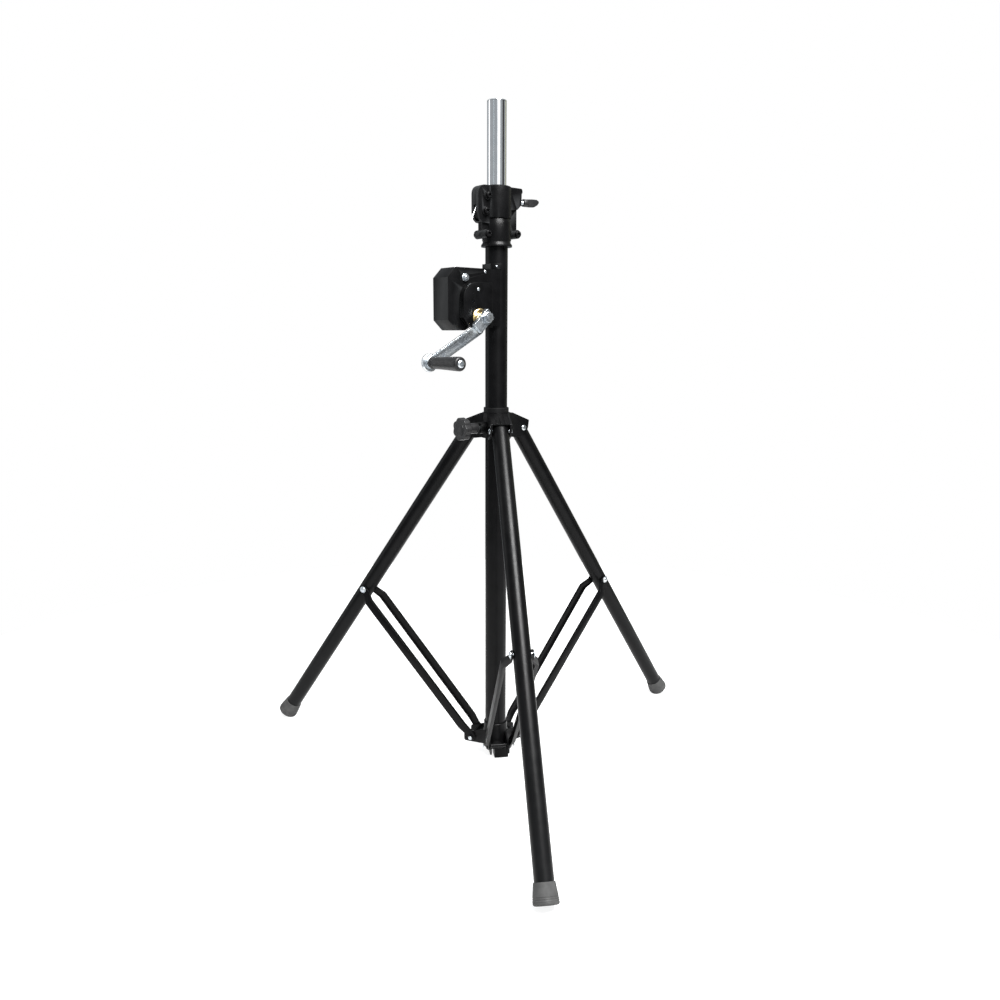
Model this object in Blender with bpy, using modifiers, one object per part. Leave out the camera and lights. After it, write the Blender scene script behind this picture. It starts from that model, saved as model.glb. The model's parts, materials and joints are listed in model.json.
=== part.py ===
"""Crank-up lighting stand: a braced tripod, a mast in two tubes and a cable winch that raises the inner one.

Lengths below are in millimetres and become metres as the meshes are made. +Z is up, the floor is z = 0,
the mast stands on the Z axis and the front leg points along -Y. Each side of the stand has its own local
frame: x outward from the mast, y across, z up.
"""

import math

import bmesh
import bpy
from mathutils import Vector

MM = 0.001

# Azimuths, in degrees from +X, of the three legs and of the side that the winch hangs on
LEG_AZIMUTHS = (270, 30, 150)
WINCH_AZIMUTH = 210

# Mast
OUTER_R, OUTER_BORE_R = 22.5, 21.3
OUTER_BOTTOM, OUTER_TOP = 28.0, 1138.0
INNER_R, INNER_BORE_R = 19.05, 17.4
INNER_BOTTOM, INNER_TOP = 62.0, 1357.0
PISTON_HEIGHT = 30.0
RUN = 0.3  # gap between parts that slide or turn on one another

# Tripod
LEG_R, LEG_BORE_R = 17.0, 15.4
LEG_HINGE_R, LEG_HINGE_Z = 56.3, 723.1
LEG_ANGLE = math.radians(34.39)
LEG_LENGTH = 862.8  # hinge pin to the end of the rubber foot
FOOT_LENGTH = 35.0
BRACE_AT = 453.2  # hinge pin to brace bolt, along the leg
HUB_PIN_R, HUB_PIN_Z = 47.0, 43.0
PIN_R = 4.0
CHEEK_IN, CHEEK_OUT = 18.0, 21.5  # sides of a collar bracket, from its middle
EAR_IN, EAR_OUT = 17.5, 21.0  # ears of the lower hub
COLLAR_TOP, COLLAR_BOTTOM = 756.5, 704.0
KNOB_Z = 727.0

# Braces
BRACE_WIDTH, BRACE_DEPTH, BRACE_SHEET = 17.5, 7.0, 1.8
BRACE_TAB = 3.2
BRACE_TOP_Y, BRACE_FOOT_Y = 31.0, 27.8  # middle of the channel, from the leg's plane
TAB_TOP_Y, TAB_FOOT_Y = 19.2, 23.0

# Head
HEAD_R, HEAD_BOTTOM, HEAD_TOP = 29.0, 1084.0, 1198.0
BUSH_R, BUSH_BOTTOM = 25.0, 1168.3
CHEEK_HALF = 11.0  # half width of the pulley housing
PULLEY_X, PULLEY_Z, PULLEY_R = 36.7, 1149.0, 17.2
PULLEY_CABLE_R = 16.5
CABLE_R = 0.9
LOCK_Z = 1174.5
HEAD_BOLTS = {  # x, z, radius and distance from the middle to the head's seat
    "head_bolt_top": (31.5, 1178.3, 3.0, 14.5),
    "pulley_axle": (PULLEY_X, PULLEY_Z, 4.0, 14.5),
    "clamp_bolt_winch_side": (35.0, 1106.4, 4.0, 17.5),
    "clamp_bolt_lock_side": (-39.0, 1110.0, 4.0, 17.5),
}

# Winch
COVER_HALF, COVER_SHEET = 24.4, 1.5
FRAME_IN, FRAME_OUT = 19.2, 22.2
GEAR_COVER_OUT = 39.0
SHAFT_X, SHAFT_Z, SHAFT_R = 72.5, 945.0, 6.0
DRUM_X, DRUM_Z = 79.8, 981.0
DRUM_CABLE_R, DRUM_R, FLANGE_R, DRUM_HALF = 44.56, 42.8, 48.3, 17.0
DRUM_TURNS, COIL_PITCH = 3, 2.2
AXLE_R, DRUM_HUB_R = 5.0, 9.0
PINION_TEETH, GEAR_TEETH = 15, 42
GEAR_FROM, GEAR_TO = 26.2, 33.2
MODULE = 2 * math.hypot(DRUM_X - SHAFT_X, DRUM_Z - SHAFT_Z) / (PINION_TEETH + GEAR_TEETH)
ARM_X, ARM_Z = 84.0, 923.6  # the rivet that holds the arm to its yoke
GRIP_X, GRIP_Z = 194.5, 861.2

SCENE = bpy.context.scene


def clear_scene():
    for obj in list(bpy.data.objects):
        bpy.data.objects.remove(obj)


def new_collection(name, hidden=False):
    found = bpy.data.collections.new(name)
    SCENE.collection.children.link(found)
    found.hide_render = hidden
    return found


clear_scene()
PARTS = new_collection("crank_lighting_stand")
CUTTERS = new_collection("cutters", hidden=True)


def make_material(name, colour, metallic, roughness):
    material = bpy.data.materials.new(name)
    material.use_nodes = True
    shader = material.node_tree.nodes["Principled BSDF"]
    shader.inputs["Base Color"].default_value = (*colour, 1)
    shader.inputs["Metallic"].default_value = metallic
    shader.inputs["Roughness"].default_value = roughness
    material.diffuse_color = (*colour, 1)
    return material


BLACK = make_material("black_paint", (0.02, 0.02, 0.022), 0.0, 0.38)
CAST = make_material("cast_black", (0.022, 0.022, 0.024), 0.0, 0.45)
CHROME = make_material("chrome", (0.86, 0.87, 0.88), 1.0, 0.08)
ZINC = make_material("zinc", (0.66, 0.70, 0.74), 1.0, 0.28)
BRASS = make_material("brass", (0.80, 0.60, 0.26), 1.0, 0.25)
RUBBER = make_material("rubber", (0.035, 0.035, 0.035), 0.0, 0.75)
PLASTIC = make_material("black_plastic", (0.028, 0.028, 0.03), 0.0, 0.5)
NYLON = make_material("nylon", (0.05, 0.05, 0.052), 0.0, 0.55)
ROPE = make_material("wire_rope", (0.56, 0.57, 0.58), 1.0, 0.35)


def empty(name, at=(0, 0, 0), turn=(0, 0, 0), parent=None):
    """A local frame: at is in millimetres and turn in radians, both in the parent's frame."""
    obj = bpy.data.objects.new(name, None)
    obj.location = Vector(at) * MM
    obj.rotation_euler = turn
    obj.parent = parent
    obj.empty_display_size = 0.03
    PARTS.objects.link(obj)
    return obj


def add_object(name, mesh, material, parent):
    """A part, or a cutter or joined shape where there is no material."""
    obj = bpy.data.objects.new(name, mesh)
    obj.parent = parent
    if material is None:
        CUTTERS.objects.link(obj)
        obj.hide_render = True
        obj.display_type = "WIRE"
    else:
        mesh.materials.append(material)
        PARTS.objects.link(obj)
    return obj


def finish_mesh(name, bm, material, parent, smooth=True):
    bmesh.ops.recalc_face_normals(bm, faces=bm.faces)
    mesh = bpy.data.meshes.new(name)
    bm.to_mesh(mesh)
    bm.free()
    if smooth:
        mesh.shade_smooth()
        mesh.set_sharp_from_angle(angle=math.radians(40))
    return add_object(name, mesh, material, parent)


AXIS_TURNS = {"z": (0, 0, 0), "y": (-math.pi / 2, 0, 0), "x": (0, math.pi / 2, 0)}


def stand_along(obj, axis, centre):
    """Turns a piece made along z to lie along another axis through centre."""
    obj.rotation_euler = AXIS_TURNS[axis]
    obj.location = Vector(centre) * MM
    return obj


def lathe(name, profile, material=None, parent=None, axis="z", centre=(0, 0, 0), segments=20):
    """An outline of (radius, height) points turned about an axis through centre."""
    bm = bmesh.new()
    turned_area = sum(a[0] * b[1] - b[0] * a[1] for a, b in zip(profile, profile[1:] + profile[:1]))
    downward = profile if turned_area < 0 else profile[::-1]
    points = [bm.verts.new((radius * MM, 0, height * MM)) for radius, height in downward]
    for point, following in zip(points, points[1:] + points[:1]):
        if point.co.x > 0 or following.co.x > 0:
            bm.edges.new((point, following))
    mesh = bpy.data.meshes.new(name)
    bm.to_mesh(mesh)
    bm.free()
    obj = add_object(name, mesh, material, parent)
    screw = obj.modifiers.new("turn", "SCREW")
    screw.steps = screw.render_steps = segments
    screw.use_merge_vertices = True
    screw.merge_threshold = 0.00001
    screw.use_smooth_shade = True
    return stand_along(obj, axis, centre)


def rod(name, radius, low, high, material=None, parent=None, axis="y", centre=(0, 0, 0), segments=14):
    bm = bmesh.new()
    bmesh.ops.create_cone(bm, cap_ends=True, segments=segments, radius1=radius * MM, radius2=radius * MM,
                          depth=abs(high - low) * MM)
    bmesh.ops.translate(bm, verts=bm.verts, vec=(0, 0, (low + high) / 2 * MM))
    return stand_along(finish_mesh(name, bm, material, parent), axis, centre)


def tube(name, outer, bore, low, high, material=None, parent=None, axis="z", centre=(0, 0, 0),
         segments=20):
    outline = [(bore, low), (outer, low), (outer, high), (bore, high)]
    return lathe(name, outline, material, parent, axis, centre, segments)


def headed_pin(name, shank, half, head, head_height, material, parent, centre=(0, 0, 0)):
    """A pin across y with a head beyond each end of its shank."""
    outer = half + head_height
    outline = [(0, -outer), (head * 0.85, -outer), (head, -half), (shank, -half),
               (shank, half), (head, half), (head * 0.85, outer), (0, outer)]
    return lathe(name, outline, material, parent, "y", centre, 12)


def prism(name, outline, low, high, material=None, parent=None, smooth=False):
    """An outline of (x, z) points, extruded across y from low to high."""
    bm = bmesh.new()
    face = bm.faces.new([bm.verts.new(Vector((x, low, z)) * MM) for x, z in outline])
    grown = bmesh.ops.extrude_face_region(bm, geom=[face])["geom"]
    far_side = [part for part in grown if isinstance(part, bmesh.types.BMVert)]
    bmesh.ops.translate(bm, verts=far_side, vec=(0, (high - low) * MM, 0))
    return finish_mesh(name, bm, material, parent, smooth)


def box(name, low, high, material=None, parent=None):
    bm = bmesh.new()
    bmesh.ops.create_cube(bm, size=1)
    bmesh.ops.scale(bm, verts=bm.verts, vec=(Vector(high) - Vector(low)) * MM)
    bmesh.ops.translate(bm, verts=bm.verts, vec=(Vector(high) + Vector(low)) / 2 * MM)
    return finish_mesh(name, bm, material, parent, smooth=False)


def rounded(corners, radii, steps=4):
    """The outline with each corner replaced by an arc of its radius."""
    outline = []
    for i, (corner, radius) in enumerate(zip(corners, radii)):
        here = Vector(corner)
        if not radius:
            outline.append(tuple(here))
            continue
        back = (Vector(corners[i - 1]) - here).normalized()
        ahead = (Vector(corners[(i + 1) % len(corners)]) - here).normalized()
        half = back.angle(ahead) / 2
        centre = here + (back + ahead).normalized() * radius / math.sin(half)
        first = here + back * radius / math.tan(half) - centre
        last = here + ahead * radius / math.tan(half) - centre
        for step in range(steps + 1):
            outline.append(tuple(centre + radius * first.slerp(last, step / steps)))
    return outline


def boolean(obj, others, operation):
    for other in others:
        modifier = obj.modifiers.new(other.name, "BOOLEAN")
        modifier.operation = operation
        modifier.solver = "EXACT"
        modifier.object = other
    return obj


def cut(obj, *cutters):
    return boolean(obj, cutters, "DIFFERENCE")


def join(obj, *others):
    return boolean(obj, others, "UNION")


def soften(obj, width, segments=2, angle=40):
    modifier = obj.modifiers.new("edges", "BEVEL")
    modifier.width = width * MM
    modifier.segments = segments
    modifier.limit_method = "ANGLE"
    modifier.angle_limit = math.radians(angle)
    return obj


def rope(name, points, material, parent):
    """A round wire along the points, with closed ends."""
    curve = bpy.data.curves.new(name, "CURVE")
    curve.dimensions = "3D"
    curve.bevel_depth = CABLE_R * MM
    curve.bevel_resolution = 1
    curve.use_fill_caps = True
    spline = curve.splines.new("POLY")
    spline.points.add(len(points) - 1)
    for place, point in zip(spline.points, points):
        place.co = (*(Vector(point) * MM), 1)
    obj = bpy.data.objects.new(name, curve)
    curve.materials.append(material)
    obj.parent = parent
    PARTS.objects.link(obj)
    return obj


def arc(centre, radius, start, end, steps):
    """(x, z) points about centre, with the angle in radians from +x towards +z."""
    return [
        (centre[0] + radius * math.cos(start + (end - start) * i / steps),
         centre[1] + radius * math.sin(start + (end - start) * i / steps))
        for i in range(steps + 1)
    ]


def involute(angle):
    return math.tan(angle) - angle


def gear_outline(teeth, first_tooth, slack=0.10):
    """(x, z) points of a spur gear about the origin with a tooth centred at first_tooth."""
    pitch_r = MODULE * teeth / 2
    base_r = pitch_r * math.cos(math.radians(20))
    pitch_half = math.pi / (2 * teeth) * (1 - slack)

    def half_angle(radius):
        if radius <= base_r:
            return pitch_half + involute(math.radians(20))
        return pitch_half + involute(math.radians(20)) - involute(math.acos(base_r / radius))

    root_r, tip_r = pitch_r - 1.25 * MODULE, pitch_r + 0.85 * MODULE
    flank = [(r, half_angle(r)) for r in (root_r, tip_r)]
    outline = []
    for tooth in range(teeth):
        middle = first_tooth + math.tau * tooth / teeth
        for r, half in flank:
            outline.append((r * math.cos(middle - half), r * math.sin(middle - half)))
        for r, half in reversed(flank):
            outline.append((r * math.cos(middle + half), r * math.sin(middle + half)))
    return outline


# ---------------------------------------------------------------- mast


def make_mast():
    tube("outer_tube", OUTER_R, OUTER_BORE_R, OUTER_BOTTOM, OUTER_TOP, BLACK, segments=24)
    tube("inner_tube", INNER_R, INNER_BORE_R, INNER_BOTTOM + 4, INNER_TOP - 3, CHROME, segments=24)
    flange = INNER_BOTTOM + 3.7
    lathe("tube_piston", [
        (6, INNER_BOTTOM), (20.6, INNER_BOTTOM), (21.05, INNER_BOTTOM + 0.8), (21.05, flange),
        (17.1, flange), (17.1, INNER_BOTTOM + PISTON_HEIGHT), (6, INNER_BOTTOM + PISTON_HEIGHT),
    ], NYLON, segments=20)
    lathe("top_plug", [
        (0, INNER_TOP - 25), (16.9, INNER_TOP - 25), (17.1, INNER_TOP - 23), (17.1, INNER_TOP - 2.7),
        (INNER_R, INNER_TOP - 2.7), (INNER_R, INNER_TOP - 1), (INNER_R - 1, INNER_TOP), (0, INNER_TOP),
    ], CHROME, segments=24)
    foot = box("mast_foot", (-5.1, -21.5, 0), (25.9, 9.5, 22.7), BLACK)
    soften(foot, 1.5, 2)


def make_lower_hub(sides):
    hub = lathe("lower_hub", [
        (0, 23), (26, 23), (27, 24), (27, 59), (25.4, 61), (25.4, 79.5), (24.6, 80.3), (0, 80.3),
    ], CAST, segments=24)
    for number, side in enumerate(sides, 1):
        for label, y in (("left", EAR_IN), ("right", -EAR_OUT)):
            ear = prism(f"hub_ear_{label}_{number}", rounded(
                [(13, 60.4), (28, 60.4), (66, 48.5), (66, 30), (13, 30)], (0, 3, 4, 4, 0), 3),
                y, y + EAR_OUT - EAR_IN, parent=side)
            join(hub, ear)
    bore = rod("hub_bore", OUTER_R + RUN, OUTER_BOTTOM - 0.3, 120, axis="z", segments=24)
    cut(hub, bore)
    for number, side in enumerate(sides, 1):
        hole = rod(f"hub_hole_{number}", PIN_R + RUN, -40, 40, parent=side,
                   centre=(HUB_PIN_R, 0, HUB_PIN_Z), segments=12)
        cut(hub, hole)
        rod(f"hub_pin_{number}", PIN_R, -EAR_OUT + 0.1, EAR_OUT - 0.1, ZINC, side,
            centre=(HUB_PIN_R, 0, HUB_PIN_Z), segments=12)


# ---------------------------------------------------------------- tripod


def make_collar(sides, knob_side):
    """The sliding collar, one casting with a pair of cheeks and a sloping roof for each leg."""
    collar = lathe("leg_collar", [(0, COLLAR_BOTTOM + 1), (29.5, COLLAR_BOTTOM + 1), (29.5, COLLAR_TOP),
                                  (0, COLLAR_TOP)], CAST, segments=24)
    lip_x, lip_z, roof = 71.0, 738.5, 1.8
    for number, side in enumerate(sides, 1):
        for label, y in (("left", CHEEK_IN), ("right", -CHEEK_OUT)):
            cheek = prism(f"cheek_{label}_{number}", rounded(
                [(16, COLLAR_TOP - 0.4), (26.5, COLLAR_TOP - 0.4), (lip_x, lip_z), (68.5, 722), (60, 711.5),
                 (40, COLLAR_BOTTOM), (16, COLLAR_BOTTOM + 3)], (0, 0, 1.5, 4, 6, 6, 0), 3),
                y, y + CHEEK_OUT - CHEEK_IN, parent=side)
            join(collar, cheek)
        roof_plate = prism(f"roof_{number}", [
            (24, COLLAR_TOP - 0.9), (27, COLLAR_TOP - 0.9), (lip_x - 1.4, lip_z + 0.1),
            (lip_x - 1.6, lip_z - roof), (24, COLLAR_TOP - 0.9 - roof),
        ], -CHEEK_IN - 1, CHEEK_IN + 1, parent=side)
        join(collar, roof_plate)
    boss = rod("knob_boss", 12, 15, 46, parent=knob_side, axis="x", centre=(0, 0, KNOB_Z), segments=16)
    join(collar, boss)
    bore = rod("collar_bore", OUTER_R + RUN, COLLAR_BOTTOM - 20, COLLAR_TOP + 20, axis="z", segments=24)
    thread = rod("knob_thread", 5 + RUN, 10, 60, parent=knob_side, axis="x", centre=(0, 0, KNOB_Z))
    cut(collar, bore, thread)
    for number, side in enumerate(sides, 1):
        hole = rod(f"collar_hole_{number}", PIN_R + RUN, -40, 40, parent=side,
                   centre=(LEG_HINGE_R, 0, LEG_HINGE_Z), segments=12)
        cut(collar, hole)
        headed_pin(f"leg_pin_{number}", PIN_R, CHEEK_OUT + 0.3, 6.0, 2.4, ZINC, side,
                   (LEG_HINGE_R, 0, LEG_HINGE_Z))
    low = COLLAR_TOP + 0.5
    lathe("collar_neck", [
        (OUTER_R + RUN, low), (26, low), (26, low + 9), (25, low + 10), (OUTER_R + RUN, low + 10),
    ], NYLON, segments=24)


def make_knob(knob_side):
    """The scalloped knob that clamps the collar, with its screw, along the y axis of its own frame."""
    axis = empty("knob_axis", (0, 0, KNOB_Z), (0, 0, -math.pi / 2), knob_side)
    lobes, waist, crest, per_lobe = 7, 22.0, 25.0, 6
    outline = []
    for i in range(lobes * per_lobe):
        angle = math.tau * i / (lobes * per_lobe)
        radius = waist + (crest - waist) * ((1 + math.cos(lobes * angle)) / 2) ** 0.6
        outline.append((radius * math.cos(angle), radius * math.sin(angle)))
    knob = soften(prism("collar_knob", outline, 79, 95, PLASTIC, axis, smooth=True), 2, 1, 60)
    neck = rod("knob_neck", 11, 50, 80, parent=axis, segments=16)
    screw = rod("knob_screw", 5, OUTER_R + RUN, 52, parent=axis, segments=12)
    join(knob, neck, screw)


def brace_section(bm, along, across, width, depth):
    """One cross-section of the channel, open towards the leg, at a distance along the brace."""
    sheet = min(BRACE_SHEET, width * 0.3, depth * 0.7)
    side = math.copysign(1, across)
    half_width, half_depth = width / 2, depth / 2
    outline = [
        (-half_width, -half_depth), (-half_width, half_depth), (half_width, half_depth),
        (half_width, -half_depth), (half_width - sheet, -half_depth),
        (half_width - sheet, half_depth - sheet), (-half_width + sheet, half_depth - sheet),
        (-half_width + sheet, -half_depth),
    ]
    return [bm.verts.new(Vector((x, across + side * y, -along)) * MM) for x, y in outline]


def make_brace(name, side, length, pivot):
    """A pressed channel with flat tabs at both ends, and the short rivet at its hub end."""
    end = BRACE_WIDTH / 2
    tip = [(-0.97 * end, 0.3), (-0.6 * end, 0.8), (0, 1), (12, 1)]
    levels = [(s, TAB_TOP_Y, BRACE_WIDTH * w, BRACE_TAB) for s, w in tip]
    levels += [(32, BRACE_TOP_Y, BRACE_WIDTH, BRACE_DEPTH),
               (length - 32, BRACE_FOOT_Y, BRACE_WIDTH, BRACE_DEPTH)]
    levels += [(length - s, TAB_FOOT_Y, BRACE_WIDTH * w, BRACE_TAB) for s, w in reversed(tip)]
    bm = bmesh.new()
    rings = [brace_section(bm, s, side * y, w, d) for s, y, w, d in levels]
    for ring, following in zip(rings, rings[1:]):
        for i in range(8):
            j = (i + 1) % 8
            bm.faces.new((ring[i], ring[j], following[j], following[i]))
    bm.faces.new(rings[0])
    bm.faces.new(rings[-1])
    brace = finish_mesh(name, bm, BLACK, pivot, smooth=False)
    face = side * (TAB_FOOT_Y + BRACE_TAB / 2)
    rivet = lathe(f"{name}_rivet", [
        (0, face - side), (7, face - side), (7, face + side * 1.6), (5, face + side * 2.8),
        (0, face + side * 2.8),
    ], parent=pivot, axis="y", centre=(0, 0, -length), segments=12)
    hole = rod(f"{name}_hole", PIN_R + RUN, 10 * side, 40 * side, parent=pivot, segments=12)
    join(brace, rivet)
    cut(brace, hole)


def make_leg(number, side):
    hinge = empty(f"leg_hinge_{number}", (LEG_HINGE_R, 0, LEG_HINGE_Z), (0, -LEG_ANGLE, 0), side)
    tube_end = LEG_LENGTH - 5.3
    dome = [(LEG_R * math.cos(a), LEG_R * math.sin(a)) for a in
            (math.radians(d) for d in (0, 30, 60))]
    inner = [(LEG_BORE_R * math.cos(a), LEG_BORE_R * math.sin(a)) for a in
             (math.radians(d) for d in (60, 30, 0))]
    leg = lathe(f"leg_tube_{number}",
                [(LEG_BORE_R, -tube_end), (LEG_R, -tube_end)] + dome + [(0, LEG_R), (0, LEG_BORE_R)] + inner,
                BLACK, hinge, segments=16)
    for label, at in (("hinge", 0), ("brace", -BRACE_AT)):
        hole = rod(f"leg_{label}_hole_{number}", PIN_R + RUN, -40, 40, parent=hinge, centre=(0, 0, at),
                   segments=12)
        cut(leg, hole)
    grip = LEG_R + RUN
    lathe(f"foot_cap_{number}", [
        (0, -LEG_LENGTH), (18.2, -LEG_LENGTH), (20.6, -LEG_LENGTH + 0.7), (22.0, -LEG_LENGTH + 2.4),
        (22.2, -LEG_LENGTH + 4.6), (19.4, -LEG_LENGTH + FOOT_LENGTH - 1.2),
        (18.7, -LEG_LENGTH + FOOT_LENGTH), (grip, -LEG_LENGTH + FOOT_LENGTH),
        (grip, -LEG_LENGTH + 5), (0, -LEG_LENGTH + 5),
    ], RUBBER, hinge, segments=20)
    headed_pin(f"brace_bolt_{number}", PIN_R, TAB_TOP_Y + BRACE_TAB / 2 + 0.3, 7.0, 3.4, ZINC, hinge,
               (0, 0, -BRACE_AT))
    top_r = LEG_HINGE_R + BRACE_AT * math.sin(LEG_ANGLE)
    top_z = LEG_HINGE_Z - BRACE_AT * math.cos(LEG_ANGLE)
    length = math.hypot(top_r - HUB_PIN_R, top_z - HUB_PIN_Z)
    lean = math.atan2(top_r - HUB_PIN_R, top_z - HUB_PIN_Z)
    pivot = empty(f"brace_pivot_{number}", (0, 0, -BRACE_AT), (0, LEG_ANGLE + lean, 0), hinge)
    make_brace(f"brace_{number}_left", 1, length, pivot)
    make_brace(f"brace_{number}_right", -1, length, pivot)


# ---------------------------------------------------------------- head


def make_head_half(name, side, winch_side):
    """One of the two castings that are bolted together round the tube and the pulley."""
    groove = 1138.0
    shell = lathe(name, [
        (0, HEAD_BOTTOM), (31, HEAD_BOTTOM), (31, HEAD_BOTTOM + 3.5), (HEAD_R - 1, HEAD_BOTTOM + 7.5),
        (HEAD_R - 1, HEAD_BOTTOM + 11), (HEAD_R, HEAD_BOTTOM + 12.5), (HEAD_R, groove - 8),
        (HEAD_R - 3, groove - 2), (HEAD_R - 3, groove), (HEAD_R, groove), (HEAD_R, HEAD_TOP - 1.5),
        (HEAD_R - 1.5, HEAD_TOP), (0, HEAD_TOP),
    ], CAST, winch_side, segments=24)
    top = HEAD_TOP - 0.6
    housing = prism(f"{name}_housing", rounded(
        [(8, top), (54, top), (54, 1146), (50, 1133), (44, 1128), (8, 1124)],
        (0, 16, 3, 5, 4, 0), 5), -CHEEK_HALF, CHEEK_HALF, parent=winch_side)
    lock_lug = prism(f"{name}_lock_lug", rounded(
        [(-8, top + 2), (-59, top + 2), (-59, top - 6), (-57, top - 8), (-56.5, 1168), (-46, 1158),
         (-8, 1154)], (0, 4, 1, 1, 4, 3, 0), 3), -9, 9, parent=winch_side)
    rib = box(f"{name}_rib", (-46.5, -5.5, 1103), (-8, 5.5, 1160), parent=winch_side)
    web = box(f"{name}_web", (8, -6.5, 1099.5), (41, 6.5, 1129), parent=winch_side)
    join(shell, housing, lock_lug, rib, web)
    for number, (x, z, _, seat) in enumerate(HEAD_BOLTS.values(), 1):
        boss = rod(f"{name}_boss_{number}", 8.6, -seat, seat, parent=winch_side, centre=(x, 0, z),
                   segments=16)
        join(shell, boss)
    seat_r = OUTER_R + RUN
    inside = lathe(f"{name}_bore", [
        (0, HEAD_BOTTOM - 10), (seat_r, HEAD_BOTTOM - 10), (seat_r, OUTER_TOP + RUN), (21.5, OUTER_TOP + RUN),
        (21.5, BUSH_BOTTOM - RUN), (BUSH_R + RUN, BUSH_BOTTOM - RUN), (BUSH_R + RUN, HEAD_TOP + 10),
        (0, HEAD_TOP + 10),
    ], parent=winch_side, segments=24)
    slot = box(f"{name}_slot", (12, -5.2, 1130), (51, 5.2, BUSH_BOTTOM - 0.8), parent=winch_side)
    mouth = box(f"{name}_mouth", (46, -4.8, 1124), (70, 4.8, 1160), parent=winch_side)
    cut(shell, inside, slot, mouth)
    for number, (x, z, radius, seat) in enumerate(HEAD_BOLTS.values(), 1):
        hole = rod(f"{name}_hole_{number}", radius + RUN, -40, 40, parent=winch_side, centre=(x, 0, z),
                   segments=12)
        spot_face = rod(f"{name}_spot_face_{number}", 7.4, side * (seat + 0.1), side * 40, parent=winch_side,
                        centre=(x, 0, z), segments=16)
        cut(shell, hole, spot_face)
    lock_hole = rod(f"{name}_lock_hole", 4 + RUN, -80, -10, parent=winch_side, axis="x",
                    centre=(0, 0, LOCK_Z), segments=12)
    low, high = (-60, 0.15) if side > 0 else (-0.15, 60)
    other_half = box(f"{name}_split", (-90, low, 1050), (90, high, 1250), parent=winch_side)
    cut(shell, lock_hole, other_half)


def make_head(winch_side):
    make_head_half("head_front", 1, winch_side)
    make_head_half("head_back", -1, winch_side)
    for name, (x, z, radius, boss) in HEAD_BOLTS.items():
        seat = boss + RUN
        lathe(name, [
            (0, -seat - 4), (6, -seat - 4), (6, -seat), (radius, -seat), (radius, seat), (6.4, seat),
            (6.4, seat + 3.8), (5.6, seat + 4.6), (3, seat + 4.6), (3, seat + 2.2), (0, seat + 2.2),
        ], ZINC, winch_side, "y", (x, 0, z), 12)
    bush = tube("guide_bush", BUSH_R, INNER_R + 0.3, BUSH_BOTTOM, HEAD_TOP + 0.8, NYLON, winch_side,
                segments=24)
    bush_hole = rod("guide_bush_hole", 4 + RUN, -80, -10, parent=winch_side, axis="x",
                    centre=(0, 0, LOCK_Z), segments=12)
    cut(bush, bush_hole)
    axle = empty("pulley_axis", (PULLEY_X, 0, PULLEY_Z), parent=winch_side)
    groove_r = PULLEY_CABLE_R - CABLE_R - 0.1
    lathe("pulley", [
        (PIN_R + RUN, -4.6), (PULLEY_R, -4.6), (PULLEY_R, -3.2), (groove_r, -1.2), (groove_r, 1.2),
        (PULLEY_R, 3.2), (PULLEY_R, 4.6), (PIN_R + RUN, 4.6),
    ], NYLON, axle, "y", segments=20)
    lock = empty("lock_axis", (0, 0, LOCK_Z), parent=winch_side)
    handle = prism("lock_handle", rounded(
        [(-68, -6), (-68, 5), (-76, 8), (-102, 9.5), (-110, 6.5), (-106, -1), (-96, -7), (-78, -7.5)],
        (1, 1, 4, 4, 3, 3, 6, 4), 3), -4.5, 4.5, PLASTIC, lock)
    hub = rod("lock_hub", 7.5, -78, -67.2, parent=lock, axis="x", segments=12)
    join(handle, hub)
    rod("lock_screw", 4, -66.9, -INNER_R - 0.6, ZINC, lock, axis="x", segments=12)


# ---------------------------------------------------------------- winch


def make_winch_frame(winch_side):
    """A folded frame with two cheeks, and a strap that seats it against the tube."""
    top, bottom, face, back = 1035.0, 932.4, 23.0, 26.0
    frame = prism("winch_frame", [(face, bottom), (108, bottom), (130, 955), (130, 1006), (108, top),
                                  (face, top)], -FRAME_OUT, FRAME_OUT, BLACK, winch_side)
    inside = box("frame_inside", (back, -FRAME_IN, 900), (200, FRAME_IN, 1100), parent=winch_side)
    cut(frame, inside)
    saddle = tube("frame_saddle", OUTER_R + 2.6, OUTER_R + RUN + 0.2, 1040, 1051, parent=winch_side,
                  segments=24)
    far_side = box("frame_saddle_cut", (-60, -60, 1020), (6, 60, 1070), parent=winch_side)
    cut(saddle, far_side)
    tongue = box("frame_tongue", (face + 0.1, -13, 1020), (back - 0.1, 13, 1050.4), parent=winch_side)
    join(frame, tongue, saddle)
    for label, radius, x, z, ends in (
            ("axle", AXLE_R, DRUM_X, DRUM_Z, (-40, 0)), ("hub", DRUM_HUB_R, DRUM_X, DRUM_Z, (0, 40)),
            ("shaft", SHAFT_R, SHAFT_X, SHAFT_Z, (0, 40)), ("bolt", 4, 96.6, 1020.3, (0, 40))):
        hole = rod(f"frame_{label}_hole", radius + RUN, *ends, parent=winch_side, centre=(x, 0, z),
                   segments=20)
        cut(frame, hole)


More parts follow.
